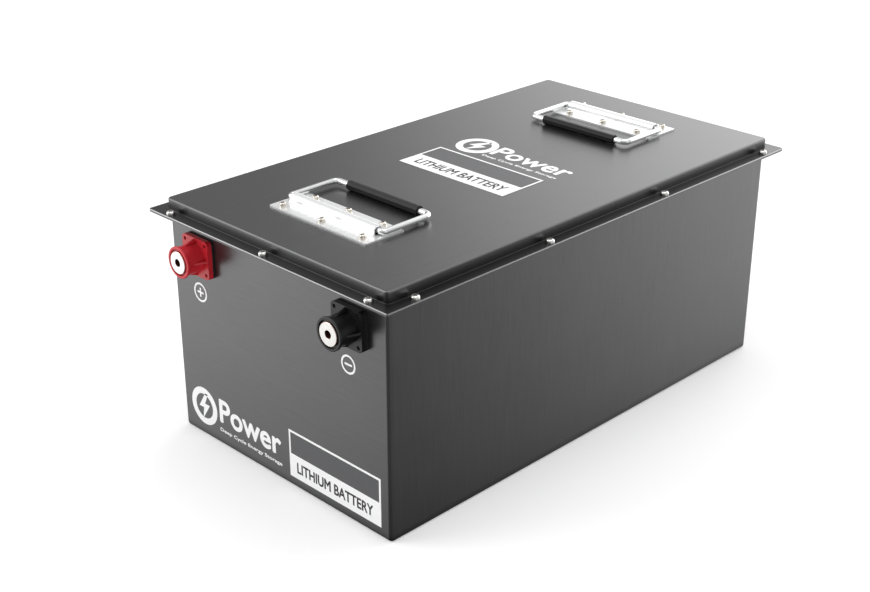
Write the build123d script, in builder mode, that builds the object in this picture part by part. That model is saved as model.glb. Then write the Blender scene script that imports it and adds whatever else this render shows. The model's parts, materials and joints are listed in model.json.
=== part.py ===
"""Steel-cased deep cycle battery: case, lid, folding handles, terminals and cell pack."""

import math
import os

from build123d import *

os.makedirs("parts", exist_ok=True)

# Frame: origin in the middle of the base, +Z up, +Y along the long side, terminals on the -Y face.
# All sizes are in millimetres.

# Case and lid, folded from the same sheet
case_width = 306.0
case_length = 552.6
case_height = 234.5  # base to the underside of the rim flange
sheet = 1.2
case_corner = 4.0
base_bend = 3.6
flange_reach = 14.1
flange_corner = 1.5
gasket_thickness = 0.6
gasket_setback = 0.4
lid_rise = 14.4  # underside of the case flange to the top of the lid
pan_overhang = 1.6
pan_corner = 4.5
pan_bend = 1.8
foot_bend = 0.4

# Screws round the rim
rim_screw_inset = 5.2
long_side_screws = 4
long_end_gap = 19.6
long_row_shift = 3.0
short_side_screws = 3
short_end_gap = 14.4
rim_screw_radius = 2.4
rim_head_radius = 4.3
rim_head_height = 3.8
plunge_radius = 3.5
plunge_depth = 1.2
thread_clearance = 0.05
hole_clearance = 0.2

# Folding handles
handle_side_shift = 1.4
front_handle_inset = 76.3  # case front to the hinge line
rear_handle_inset = 70.5
plate_length = 135.0
plate_width = 47.0
plate_sheet = 1.5
plate_corner = 1.5
wire_radius = 3.0
hinge_height = 5.1
bail_half_span = 65.0
bail_reach = 59.3
bail_corner = 6.0
hinge_bend = 3.4
tunnel_half_length = 58.4
tunnel_inner_width = 8.6
tunnel_play = 0.5
tunnel_round = 3.6
tunnel_foot = 3.0
bush_length = 13.0
bush_recess = 1.2
bush_play = 0.05
grip_flat = 9.5
grip_length = 97.0
grip_shift = 2.4
grip_edge = 0.35
grip_play = 0.02
handle_screw_row = 16.5
outer_screw_pitch = 55.5
inner_screw_pitch = 46.9
handle_screw_radius = 1.9
handle_head_radius = 3.5
handle_head_height = 4.0
backing_thickness = 2.0
handle_screw_reach = 3.0

# Terminals
positive_terminal_offset = 106.4
negative_terminal_offset = 107.3
terminal_drop = 31.7
terminal_gasket = 1.8
terminal_plate = 39.0
terminal_plate_corner = 4.0
terminal_plate_depth = 5.0
barrel_radius = 14.4
rim_radius = 15.8
rim_depth = 2.6
rim_edge = 0.8
rim_groove_radius = 13.3
rim_groove_depth = 2.0
terminal_reach = 27.0
insert_proud = 0.7
insert_radius = 11.2
insert_disc_depth = 9.0
insert_shank = 9.0
insert_edge = 0.4
stud_radius = 5.0
stud_length = 13.0
spigot_radius = 12.2
spigot_depth = 3.0
m8_core_radius = 3.35
m8_depth = 20.0
m8_mouth = 0.7
gusset_width = 2.0
gusset_foot = 4.4
gusset_length = 12.5
terminal_hole_pitch = 30.0
terminal_screw_radius = 1.95
terminal_head_radius = 3.4
terminal_head_height = 2.4
terminal_screw_reach = 5.0
fit_clearance = 0.05

# Labels and polarity marks
label_thickness = 0.3
front_label_size = (126.5, 50.6)
front_label_centre = (76.7, 36.4)
top_label_size = (143.0, 60.0)
top_label_centre = (0.5, -19.0)
mark_thickness = 0.2
positive_mark_radius = 10.0
negative_mark_radius = 9.3
mark_stroke = 1.9
mark_bar = 9.4
mark_drop = 41.0
positive_mark_offset = 112.0
negative_mark_offset = 101.0

# Cell pack
cells_across = 4
cells_along = 3
cell_gap = 0.5
side_pad = 7.65
base_pad = 2.0
wiring_bay = 20.1
end_board = 2.0
rear_pad = 6.0
cell_headroom = 30.8  # cell top to the underside of the rim flange
cell_corner = 3.0
post_inset = 25.35
post_radius = 8.5
post_height = 3.0
cell_stud_radius = 2.9
cell_stud_height = 11.0
vent_length = 30.0
vent_width = 12.0
vent_depth = 0.5
cover_board = 1.5
cover_clearance = 1.5
busbar_width = 20.0
busbar_thickness = 2.0
nut_height = 6.0
nut_flat_radius = 5.0
link_bar_width = 18.0
link_bar_thickness = 3.0
terminal_nut_flat_radius = 8.0
terminal_nut_height = 8.0

# Battery management unit and leads
pillar_radius = 4.0
pillar_height = 14.8
pillar_spread = 60.0
tray_thickness = 2.0
tray_margin = 12.0
tray_length = 140.0
bms_size = (190.0, 120.0, 20.0)
bms_edge = 2.0
fin_count = 9
fin_groove = 3.0
fin_depth = 5.0
block_size = (16.0, 8.0, 14.0)
lead_radius = 5.0
lug_thickness = 3.0
lug_radius = 10.0
lug_neck = 13.0
lug_barrel_radius = 7.0
lug_barrel_length = 22.0
arc_share = 0.45  # how much of a run each bend may use

# Worked out from the sizes above
flange_width = case_width + 2 * flange_reach
flange_length = case_length + 2 * flange_reach
flange_top = case_height + sheet
lid_under = flange_top + gasket_thickness
lid_flange_top = lid_under + sheet
lid_top = case_height + lid_rise
lid_ceiling = lid_top - sheet
pan_width = case_width + 2 * pan_overhang
pan_length = case_length + 2 * pan_overhang
inner_width = case_width - 2 * sheet
inner_length = case_length - 2 * sheet
front_y = -case_length / 2
terminal_height = case_height - terminal_drop

rim_x = flange_width / 2 - rim_screw_inset
rim_y = flange_length / 2 - rim_screw_inset
long_pitch = (case_length - 2 * long_end_gap) / (long_side_screws - 1)
short_pitch = (case_width - 2 * short_end_gap) / (short_side_screws - 1)
rim_points = [
    (side * rim_x, (i - (long_side_screws - 1) / 2) * long_pitch + long_row_shift)
    for side in (-1, 1)
    for i in range(long_side_screws)
] + [
    ((i - (short_side_screws - 1) / 2) * short_pitch, side * rim_y)
    for side in (-1, 1)
    for i in range(short_side_screws)
]

handle_seats = {
    "front": Plane(
        origin=(handle_side_shift, front_handle_inset - case_length / 2, lid_top),
        x_dir=(1, 0, 0),
        z_dir=(0, 0, 1),
    ),
    "rear": Plane(
        origin=(handle_side_shift, case_length / 2 - rear_handle_inset, lid_top),
        x_dir=(-1, 0, 0),
        z_dir=(0, 0, 1),
    ),
}
handle_points = [(x, -handle_screw_row) for x in (-outer_screw_pitch, 0, outer_screw_pitch)] + [
    (x, handle_screw_row) for x in (-inner_screw_pitch, 0, inner_screw_pitch)
]

front_face = Plane(origin=(0, front_y, 0), x_dir=(1, 0, 0), z_dir=(0, -1, 0))
terminal_seats = {
    name: Plane(origin=(across, front_y, terminal_height), x_dir=(1, 0, 0), z_dir=(0, -1, 0))
    for name, across in (("positive", -positive_terminal_offset), ("negative", negative_terminal_offset))
}

cell_width = (inner_width - 2 * side_pad - (cells_across - 1) * cell_gap) / cells_across
cell_start = -inner_length / 2 + wiring_bay + end_board
cell_length = (inner_length / 2 - rear_pad - cell_start - (cells_along - 1) * cell_gap) / cells_along
cell_bottom = sheet + base_pad
cell_top = case_height - cell_headroom
post_top = cell_top + post_height
column_x = [(i - (cells_across - 1) / 2) * (cell_width + cell_gap) for i in range(cells_across)]
row_y = [cell_start + cell_length / 2 + i * (cell_length + cell_gap) for i in range(cells_along)]
post_offset = cell_length / 2 - post_inset
pack_width = inner_width - 2 * side_pad
pack_length = cells_along * cell_length + (cells_along - 1) * cell_gap
pack_middle = cell_start + pack_length / 2
post_points = [(x, y + end * post_offset) for x in column_x for y in row_y for end in (-1, 1)]
tray_bottom = cell_top + cover_board + pillar_height
bms_bottom = tray_bottom + tray_thickness
bms_front = row_y[1] - bms_size[1] / 2
lead_height = bms_bottom + bms_size[2] / 2


def save(builder, name):
    """Label a finished sub-part and write its STEP file."""
    builder.part.label = name
    export_step(builder.part, f"parts/{name}.step")
    print(name, len(builder.part.solids()), round(builder.part.volume))


def bar(plane, start, end, radius, points=((0, 0),), mode=Mode.ADD):
    """Round bars square to a plane, from one distance off it to another."""
    with BuildSketch(plane.offset(start)) as section:
        with Locations(*points):
            Circle(radius)
    extrude(section.sketch, amount=end - start, mode=mode)


def hex_bar(plane, start, end, flat_radius, points=((0, 0),)):
    """Hexagonal bars, given by the distance from the middle to a flat."""
    with BuildSketch(plane.offset(start)) as section:
        with Locations(*points):
            RegularPolygon(flat_radius, 6, major_radius=False)
    extrude(section.sketch, amount=end - start)


def cross_recess(plane, span, depth, points):
    """Cross-shaped driver recesses sunk into screw heads."""
    with BuildSketch(plane) as section:
        with Locations(*points):
            Rectangle(span, span / 4)
            Rectangle(span / 4, span)
    extrude(section.sketch, amount=-depth, mode=Mode.SUBTRACT)


def pan_screws(plane, points, head, height, shank, reach):
    """Pan head screws whose heads sit on a plane, with the shanks below it."""
    with BuildPart() as screws:
        bar(plane, 0, height, head, points)
        top = plane.offset(height)
        rims = screws.edges().filter_by(lambda edge: abs(top.to_local_coords(edge.center()).Z) < 0.01)
        fillet(rims, height * 0.55)
        bar(plane, -reach, 0, shank, points)
        cross_recess(top, head * 1.05, height * 0.55, points)
    return screws


# ---- Case ----

with BuildPart() as case_shell:
    with BuildSketch():
        RectangleRounded(case_width, case_length, case_corner)
    extrude(amount=flange_top)
    fillet(case_shell.faces().sort_by(Axis.Z)[0].edges(), base_bend)
    with BuildSketch(Plane.XY.offset(sheet)):
        RectangleRounded(inner_width, inner_length, case_corner - sheet)
    extrude(amount=flange_top - sheet, mode=Mode.SUBTRACT)
    floor_edges = case_shell.edges().filter_by_position(Axis.Z, sheet - 0.01, sheet + 0.01)
    fillet(floor_edges, base_bend - sheet)
    with BuildSketch(Plane.XY.offset(case_height)):
        RectangleRounded(flange_width, flange_length, flange_corner)
        RectangleRounded(inner_width, inner_length, case_corner - sheet, mode=Mode.SUBTRACT)
    extrude(amount=sheet)
    plunge_bottom = case_height - plunge_depth
    bar(Plane.XY, plunge_bottom, case_height, plunge_radius, rim_points)
    bar(Plane.XY, plunge_bottom, flange_top, rim_screw_radius + thread_clearance, rim_points, Mode.SUBTRACT)
    for seat in terminal_seats.values():
        bar(seat, -sheet, 0, spigot_radius + hole_clearance, mode=Mode.SUBTRACT)
        with BuildSketch(seat.offset(-sheet)):
            with GridLocations(terminal_hole_pitch, terminal_hole_pitch, 2, 2):
                Circle(terminal_screw_radius + hole_clearance)
        extrude(amount=sheet, mode=Mode.SUBTRACT)
save(case_shell, "case_shell")

# ---- Lid, its gasket and fixings ----

with BuildPart() as lid:
    with BuildSketch(Plane.XY.offset(lid_under)):
        RectangleRounded(pan_width, pan_length, pan_corner)
    extrude(amount=lid_top - lid_under)
    fillet(lid.faces().sort_by(Axis.Z)[-1].edges(), pan_bend)
    with BuildSketch(Plane.XY.offset(lid_under)):
        RectangleRounded(flange_width, flange_length, flange_corner)
    extrude(amount=sheet)
    foot = lid.edges().filter_by_position(Axis.Z, lid_flange_top - 0.01, lid_flange_top + 0.01)
    foot = foot.filter_by_position(Axis.X, -pan_width / 2 - 0.1, pan_width / 2 + 0.1)
    foot = foot.filter_by_position(Axis.Y, -pan_length / 2 - 0.1, pan_length / 2 + 0.1)
    fillet(foot, foot_bend)
    with BuildSketch(Plane.XY.offset(lid_under)):
        RectangleRounded(pan_width - 2 * sheet, pan_length - 2 * sheet, pan_corner - sheet)
    extrude(amount=lid_ceiling - lid_under, mode=Mode.SUBTRACT)
    bar(Plane.XY, lid_under, lid_flange_top, rim_screw_radius + hole_clearance, rim_points, Mode.SUBTRACT)
    for seat in handle_seats.values():
        bar(seat, -sheet, 0, handle_screw_radius + hole_clearance, handle_points, Mode.SUBTRACT)
save(lid, "lid")

with BuildPart() as lid_gasket:
    with BuildSketch(Plane.XY.offset(flange_top)):
        RectangleRounded(
            flange_width - 2 * gasket_setback, flange_length - 2 * gasket_setback, flange_corner
        )
        RectangleRounded(pan_width - 2 * sheet, pan_length - 2 * sheet, pan_corner - sheet, mode=Mode.SUBTRACT)
        with Locations(*rim_points):
            Circle(rim_screw_radius + hole_clearance, mode=Mode.SUBTRACT)
    extrude(amount=gasket_thickness)
save(lid_gasket, "lid_gasket")

lid_screws = pan_screws(
    Plane.XY.offset(lid_flange_top),
    rim_points,
    rim_head_radius,
    rim_head_height,
    rim_screw_radius,
    lid_flange_top - plunge_bottom,
)
save(lid_screws, "lid_screws")

# ---- Folding handles ----

tunnel_ceiling = hinge_height + wire_radius + tunnel_play


def cross_plane(seat):
    """Upright plane across a handle: first axis towards the grip, second axis up."""
    return Plane(origin=seat.origin, x_dir=seat.y_dir, z_dir=seat.x_dir)


def tunnel_section(across, width, ceiling, corner):
    """Draw the flat-bottomed, round-shouldered section of the tunnel, standing on the lid."""
    with BuildSketch(across) as section:
        Rectangle(width, ceiling, align=(Align.CENTER, Align.MIN))
        fillet(section.vertices().group_by(Axis.Y)[-1], corner)
    return section.sketch


def handle_plate(seat):
    """Pressed plate with a raised tunnel that holds the ends of the bail."""
    across = cross_plane(seat)
    with BuildPart() as plate:
        with BuildSketch(seat):
            RectangleRounded(plate_length, plate_width, plate_corner)
        extrude(amount=plate_sheet)
        outside = tunnel_section(
            across,
            tunnel_inner_width + 2 * plate_sheet,
            tunnel_ceiling + plate_sheet,
            tunnel_round + plate_sheet,
        )
        extrude(outside, amount=tunnel_half_length, both=True)
        feet = plate.edges().filter_by(lambda edge: abs(edge.length - 2 * tunnel_half_length) < 0.1)
        feet = feet.filter_by(
            lambda edge: abs(seat.to_local_coords(edge.center()).Z - plate_sheet) < 0.01
        )
        fillet(feet, tunnel_foot)
        inside = tunnel_section(across, tunnel_inner_width, tunnel_ceiling, tunnel_round)
        extrude(inside, amount=tunnel_half_length, both=True, mode=Mode.SUBTRACT)
        bar(seat, 0, plate_sheet, handle_screw_radius + hole_clearance, handle_points, Mode.SUBTRACT)
    return plate


def handle_bushes(seat):
    """Bushes inside both ends of the tunnel, bored for the turned-in ends of the bail."""
    across = cross_plane(seat)
    outer_end = tunnel_half_length - bush_recess
    with BuildPart() as bushes:
        for start in (-outer_end, outer_end - bush_length):
            section = tunnel_section(
                across.offset(start),
                tunnel_inner_width - 2 * fit_clearance,
                tunnel_ceiling - fit_clearance,
                tunnel_round,
            )
            extrude(section, amount=bush_length)
            bar(
                across.offset(start),
                0,
                bush_length,
                wire_radius + bush_play,
                [(0, hinge_height)],
                Mode.SUBTRACT,
            )
    return bushes


def handle_bail(seat):
    """Round wire bail, turned in at both ends to run in the bushes."""
    wire_plane = seat.offset(hinge_height)
    pin_end = tunnel_half_length - bush_recess - bush_length - 2
    with BuildPart() as bail:
        with BuildLine(wire_plane) as path:
            FilletPolyline(
                (-pin_end, 0),
                (-bail_half_span, 0),
                (-bail_half_span, bail_reach),
                (bail_half_span, bail_reach),
                (bail_half_span, 0),
                (pin_end, 0),
                radius=[hinge_bend, bail_corner, bail_corner, hinge_bend],
            )
        with BuildSketch(Plane(origin=path.line @ 0, z_dir=path.line % 0)):
            Circle(wire_radius)
        sweep()
    return bail


def handle_grip(seat):
    """Moulded eight-sided grip on the cross rod of the bail."""
    middle = seat.from_local_coords((0, bail_reach, hinge_height)) + Vector(grip_shift, 0, 0)
    across = Plane(origin=middle, x_dir=seat.y_dir, z_dir=seat.x_dir)
    with BuildPart() as grip:
        with BuildSketch(across) as section:
            RegularPolygon(grip_flat / 2, 8, major_radius=False, rotation=22.5)
            fillet(section.vertices(), grip_edge)
        extrude(amount=grip_length / 2, both=True)
        bar(across, -grip_length / 2, grip_length / 2, wire_radius + grip_play, mode=Mode.SUBTRACT)
    return grip


def handle_backing_plate(seat):
    """Tapped plate under the lid that the handle screws pull against."""
    with BuildPart() as backing:
        with BuildSketch(seat.offset(-sheet - backing_thickness)):
            RectangleRounded(plate_length, plate_width, plate_corner)
            with Locations(*handle_points):
                Circle(handle_screw_radius + thread_clearance, mode=Mode.SUBTRACT)
        extrude(amount=backing_thickness)
    return backing


for end, seat in handle_seats.items():
    save(handle_plate(seat), f"{end}_handle_plate")
    save(handle_bushes(seat), f"{end}_handle_bushes")
    save(handle_bail(seat), f"{end}_handle_bail")
    save(handle_grip(seat), f"{end}_handle_grip")
    save(handle_backing_plate(seat), f"{end}_handle_backing_plate")
    screws = pan_screws(
        seat.offset(plate_sheet),
        handle_points,
        handle_head_radius,
        handle_head_height,
        handle_screw_radius,
        plate_sheet + sheet + backing_thickness + handle_screw_reach,
    )
    save(screws, f"{end}_handle_screws")

# ---- Terminals ----

terminal_face = terminal_gasket + terminal_plate_depth
insert_front = terminal_reach + insert_proud
insert_seat = insert_front - insert_disc_depth
half_pitch = terminal_hole_pitch / 2
terminal_points = [(x, z) for x in (-half_pitch, half_pitch) for z in (-half_pitch, half_pitch)]


def terminal_gasket_ring(seat):
    """Square rubber seal between the terminal housing and the case."""
    with BuildPart() as gasket:
        with BuildSketch(seat):
            RectangleRounded(terminal_plate, terminal_plate, terminal_plate_corner)
            Circle(spigot_radius + hole_clearance, mode=Mode.SUBTRACT)
            with Locations(*terminal_points):
                Circle(terminal_screw_radius + hole_clearance, mode=Mode.SUBTRACT)
        extrude(amount=terminal_gasket)
    return gasket


def terminal_housing(seat):
    """Moulded insulator: square foot, round barrel with a rim, and four gussets."""
    with BuildPart() as housing:
        with BuildSketch(seat.offset(terminal_gasket)):
            RectangleRounded(terminal_plate, terminal_plate, terminal_plate_corner)
        extrude(amount=terminal_plate_depth)
        bar(seat, terminal_face, terminal_reach, barrel_radius)
        bar(seat, terminal_reach - rim_depth, terminal_reach, rim_radius)
        rims = housing.edges().filter_by(GeomType.CIRCLE).filter_by(
            lambda edge: abs(edge.radius - rim_radius) < 0.01
        )
        fillet(rims, rim_edge)
        for out in (seat.x_dir, -seat.x_dir, seat.y_dir, -seat.y_dir):
            with BuildSketch(Plane(origin=seat.origin, x_dir=out, z_dir=out.cross(seat.z_dir))):
                Polygon(
                    (barrel_radius - 1, terminal_face),
                    (barrel_radius + gusset_foot, terminal_face),
                    (barrel_radius, terminal_face + gusset_length),
                    (barrel_radius - 1, terminal_face + gusset_length),
                    align=None,
                )
            extrude(amount=gusset_width / 2, both=True)
        bar(seat, -spigot_depth, terminal_gasket, spigot_radius)
        bar(seat, -spigot_depth, insert_seat, insert_shank + fit_clearance, mode=Mode.SUBTRACT)
        bar(seat, insert_seat, terminal_reach, insert_radius + fit_clearance, mode=Mode.SUBTRACT)
        bar(seat, terminal_reach - rim_groove_depth, terminal_reach, rim_groove_radius, mode=Mode.SUBTRACT)
        bar(
            seat,
            terminal_gasket,
            terminal_face,
            terminal_screw_radius + thread_clearance,
            terminal_points,
            Mode.SUBTRACT,
        )
    return housing


def terminal_insert(seat):
    """Plated copper conductor with a threaded hole outside and a stud inside the case."""
    shoulder = -spigot_depth + fit_clearance
    with BuildPart() as insert:
        bar(seat, insert_seat, insert_front, insert_radius)
        front_edges = insert.edges().filter_by(
            lambda edge: abs(seat.to_local_coords(edge.center()).Z - insert_front) < 0.01
        )
        chamfer(front_edges, insert_edge)
        bar(seat, shoulder, insert_seat, insert_shank)
        bar(seat, shoulder - stud_length, shoulder, stud_radius)
        bar(seat, insert_front - m8_depth, insert_front, m8_core_radius, mode=Mode.SUBTRACT)
        mouth = insert.edges().filter_by(GeomType.CIRCLE).filter_by(
            lambda edge: abs(edge.radius - m8_core_radius) < 0.01
            and abs(seat.to_local_coords(edge.center()).Z - insert_front) < 0.01
        )
        chamfer(mouth, m8_mouth)
    return insert


def terminal_screws(seat):
    """Screws from inside the case that hold the terminal housing."""
    inside = Plane(origin=seat.origin - seat.z_dir * sheet, x_dir=seat.x_dir, z_dir=-seat.z_dir)
    reach = sheet + terminal_gasket + terminal_screw_reach - 2
    return pan_screws(
        inside, terminal_points, terminal_head_radius, terminal_head_height, terminal_screw_radius, reach
    )


def terminal_nut(seat):
    """Nut on the inner stud, clamping the link bar or the cable lug."""
    start = -spigot_depth - link_bar_thickness
    with BuildPart() as nut:
        hex_bar(seat, start - terminal_nut_height, start, terminal_nut_flat_radius)
        bar(seat, start - terminal_nut_height, start, stud_radius + thread_clearance, mode=Mode.SUBTRACT)
    return nut


for name, seat in terminal_seats.items():
    save(terminal_gasket_ring(seat), f"{name}_terminal_gasket")
    save(terminal_housing(seat), f"{name}_terminal_housing")
    save(terminal_insert(seat), f"{name}_terminal_insert")
    save(terminal_screws(seat), f"{name}_terminal_screws")
    save(terminal_nut(seat), f"{name}_terminal_nut")

# ---- Labels and polarity marks ----

with BuildPart() as front_label:
    with BuildSketch(front_face):
        with Locations(front_label_centre):
            Rectangle(*front_label_size)
    extrude(amount=label_thickness)
save(front_label, "front_label")

with BuildPart() as top_label:
    with BuildSketch(Plane.XY.offset(lid_top)):
        with Locations(top_label_centre):
            Rectangle(*top_label_size)
    extrude(amount=label_thickness)
save(top_label, "top_label")

mark_height = terminal_height - mark_drop
for name, place, radius, bars in (
    ("positive_mark", -positive_mark_offset, positive_mark_radius, (0, 90)),
    ("negative_mark", negative_mark_offset, negative_mark_radius, (0,)),
):
    with BuildPart() as mark:
        with BuildSketch(front_face):
            with Locations((place, mark_height)):
                Circle(radius)
                Circle(radius - mark_stroke, mode=Mode.SUBTRACT)
                for turn in bars:
                    Rectangle(mark_bar, mark_stroke, rotation=turn)
        extrude(amount=mark_thickness)
    save(mark, name)

# ---- Cell pack ----

with BuildPart() as base_mat:
    with BuildSketch(Plane.XY.offset(sheet)):
        with Locations((0, pack_middle)):
            Rectangle(pack_width, pack_length)
    extrude(amount=base_pad)
save(base_mat, "base_mat")


def cell(x, y):
    """Prismatic cell: rounded can, vent recess, two terminal pads with studs."""
    with BuildPart() as body:
        with BuildSketch(Plane(origin=(x, y, cell_bottom))):
            RectangleRounded(cell_width, cell_length, cell_corner)
        extrude(amount=cell_top - cell_bottom)
        with BuildSketch(Plane(origin=(x, y, cell_top))):
            SlotOverall(vent_length, vent_width, rotation=90)
        extrude(amount=-vent_depth, mode=Mode.SUBTRACT)
        posts = [(0, -post_offset), (0, post_offset)]
        bar(Plane(origin=(x, y, cell_top)), 0, post_height, post_radius, posts)
        bar(Plane(origin=(x, y, post_top)), 0, cell_stud_height, cell_stud_radius, posts)
    return body


for i, x in enumerate(column_x):
    for j, y in enumerate(row_y):
        save(cell(x, y), f"cell_{i + 1}_{j + 1}")

with BuildPart() as cell_spacers:
    with BuildSketch(Plane.XY.offset(cell_bottom)):
        for i in range(cells_across - 1):
            with Locations(((column_x[i] + column_x[i + 1]) / 2, pack_middle)):
                Rectangle(cell_gap, pack_length)
        for j in range(cells_along - 1):
            for x in column_x:
                with Locations((x, (row_y[j] + row_y[j + 1]) / 2)):
                    Rectangle(cell_width, cell_gap)
    extrude(amount=cell_top - cell_bottom)
save(cell_spacers, "cell_spacers")

# Foam and board stop above the bend at the foot of the case.
with BuildPart() as pack_foam:
    with BuildSketch(Plane.XY.offset(base_bend)):
        with Locations(*[(side * (inner_width - side_pad) / 2, pack_middle) for side in (-1, 1)]):
            Rectangle(side_pad, pack_length)
        with Locations((0, (inner_length - rear_pad) / 2)):
            Rectangle(pack_width, rear_pad)
    extrude(amount=cell_top - base_bend)
save(pack_foam, "pack_foam")

with BuildPart() as front_board:
    with BuildSketch(Plane.XY.offset(base_bend)):
        with Locations((0, cell_start - end_board / 2)):
            Rectangle(inner_width - 2, end_board)
    extrude(amount=cell_top - base_bend)
save(front_board, "front_board")

with BuildPart() as cell_cover:
    with BuildSketch(Plane.XY.offset(cell_top)):
        with Locations((0, pack_middle)):
            Rectangle(pack_width, pack_length)
        with Locations(*post_points):
            Circle(post_radius + cover_clearance, mode=Mode.SUBTRACT)
        with Locations(*[(x, y) for x in column_x for y in row_y]):
            SlotOverall(vent_length, vent_width, rotation=90, mode=Mode.SUBTRACT)
    extrude(amount=cover_board)
save(cell_cover, "cell_cover")

# The cells are in one series string: up the first column, down the second, and so on.
in_line = [
    [(x, row_y[j] + post_offset), (x, row_y[j + 1] - post_offset)]
    for x in column_x
    for j in range(cells_along - 1)
]
turns = [
    [(column_x[i], y), (column_x[i + 1], y)]
    for i, y in (
        (0, row_y[-1] + post_offset),
        (1, row_y[0] - post_offset),
        (2, row_y[-1] + post_offset),
    )
]
pack_ends = [(column_x[0], row_y[0] - post_offset), (column_x[-1], row_y[0] - post_offset)]
for name, links in (("series_busbars", in_line), ("turning_busbars", turns)):
    with BuildPart() as busbars:
        with BuildSketch(Plane.XY.offset(post_top)):
            for first, last in links:
                SlotCenterPoint((Vector(first) + Vector(last)) / 2, last, busbar_width)
            with Locations(*[point for link in links for point in link]):
                Circle(cell_stud_radius + hole_clearance, mode=Mode.SUBTRACT)
        extrude(amount=busbar_thickness)
    save(busbars, name)

linked_points = [point for point in post_points if point not in pack_ends]
with BuildPart() as cell_nuts:
    for height, points in (
        (post_top + busbar_thickness, linked_points),
        (post_top + link_bar_thickness, pack_ends),
    ):
        level = Plane.XY.offset(height)
        hex_bar(level, 0, nut_height, nut_flat_radius, points)
        bar(level, 0, nut_height, cell_stud_radius + thread_clearance, points, Mode.SUBTRACT)
save(cell_nuts, "cell_nuts")

# Bent bar from the positive terminal, up over its nut and down to the first cell
positive_seat = terminal_seats["positive"]
bar_outer = front_y + spigot_depth
bar_top = terminal_height + terminal_nut_flat_radius + link_bar_thickness + 5
bar_foot = row_y[0] - post_offset + link_bar_width / 2
bar_step = row_y[0] - post_offset - link_bar_width / 2 - 2
with BuildPart() as positive_link_bar:
    with BuildSketch(Plane(origin=(0, 0, 0), x_dir=(0, 1, 0), z_dir=(1, 0, 0)).offset(pack_ends[0][0])):
        Polygon(
            (bar_outer, terminal_height - link_bar_width / 2),
            (bar_outer, bar_top),
            (bar_step, bar_top),
            (bar_step, post_top + link_bar_thickness),
            (bar_foot, post_top + link_bar_thickness),
            (bar_foot, post_top),
            (bar_step - link_bar_thickness, post_top),
            (bar_step - link_bar_thickness, bar_top - link_bar_thickness),
            (bar_outer + link_bar_thickness, bar_top - link_bar_thickness),
            (bar_outer + link_bar_thickness, terminal_height - link_bar_width / 2),
            align=None,
        )
    extrude(amount=link_bar_width / 2, both=True)
    bar(
        positive_seat,
        -spigot_depth - link_bar_thickness,
        -spigot_depth,
        stud_radius + hole_clearance,
        mode=Mode.SUBTRACT,
    )
    bar(
        Plane.XY,
        post_top,
        post_top + link_bar_thickness,
        cell_stud_radius + hole_clearance,
        [pack_ends[0]],
        Mode.SUBTRACT,
    )
save(positive_link_bar, "positive_link_bar")

# ---- Battery management unit on its tray ----

tray_width = column_x[-1] - column_x[0] + 2 * tray_margin
pillar_points = [
    (x, row_y[1] + side * pillar_spread / 2) for x in (column_x[0], column_x[-1]) for side in (-1, 1)
]
with BuildPart() as tray_pillars:
    hex_bar(Plane.XY, cell_top + cover_board, tray_bottom, pillar_radius, pillar_points)
save(tray_pillars, "tray_pillars")

with BuildPart() as bms_tray:
    with BuildSketch(Plane(origin=(0, row_y[1], tray_bottom))):
        RectangleRounded(tray_width, tray_length, tray_margin / 2)
    extrude(amount=tray_thickness)
save(bms_tray, "bms_tray")

with BuildPart() as bms_case:
    with BuildSketch(Plane(origin=(0, row_y[1], bms_bottom))):
        RectangleRounded(bms_size[0], bms_size[1], bms_edge)
    extrude(amount=bms_size[2])
    fin_pitch = bms_size[0] / fin_count
    with BuildSketch(Plane(origin=(0, row_y[1], bms_bottom + bms_size[2]))):
        with GridLocations(fin_pitch, 1, fin_count - 1, 1):
            Rectangle(fin_groove, bms_size[1])
    extrude(amount=-fin_depth, mode=Mode.SUBTRACT)
save(bms_case, "bms_case")

# ---- Leads: cell string to the unit, and the unit to the negative terminal ----

string_end = pack_ends[1]
string_lead_x = (column_x[-1] + column_x[-2]) / 2
pack_lead_x = 0.0
lead_end_y = bms_front - block_size[1]
lug_reach = lug_neck + lug_barrel_length

with BuildPart() as bms_blocks:
    with BuildSketch(Plane(origin=(0, bms_front, lead_height), x_dir=(1, 0, 0), z_dir=(0, -1, 0))):
        with Locations((string_lead_x, 0), (pack_lead_x, 0)):
            Rectangle(block_size[0], block_size[2])
    extrude(amount=block_size[1])
save(bms_blocks, "bms_blocks")


def cable_lug(seat, hole_radius):
    """Crimp lug: flat tongue on its seat, with the barrel along the seat's first axis."""
    barrel_start = seat.from_local_coords((lug_neck, 0, lug_barrel_radius))
    barrel_plane = Plane(origin=barrel_start, x_dir=seat.y_dir, z_dir=seat.x_dir)
    with BuildPart() as lug:
        with BuildSketch(seat):
            Circle(lug_radius)
            with Locations((lug_neck / 2 + 1, 0)):
                Rectangle(lug_neck + 2, 2 * lug_barrel_radius)
            Circle(hole_radius, mode=Mode.SUBTRACT)
        extrude(amount=lug_thickness)
        bar(barrel_plane, 0, lug_barrel_length, lug_barrel_radius)
    return lug


def lead(points):
    """Round cable along straight runs joined by arcs as large as the runs allow."""
    radii = []
    for before, here, after in zip(points, points[1:], points[2:]):
        run_in = Vector(here) - Vector(before)
        run_out = Vector(after) - Vector(here)
        half_turn = math.radians(run_in.get_angle(run_out) / 2)
        radii.append(arc_share * min(run_in.length, run_out.length) / math.tan(half_turn))
    with BuildPart() as cable:
        with BuildLine() as path:
            FilletPolyline(*points, radius=radii)
        with BuildSketch(Plane(origin=path.line @ 0, z_dir=path.line % 0)):
            Circle(lead_radius)
        sweep()
    share = cable.part.volume / (math.pi * lead_radius**2 * path.wires()[0].length)
    print("lead length", round(path.wires()[0].length), "radii", [round(r) for r in radii], round(share, 4))
    return cable


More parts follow.
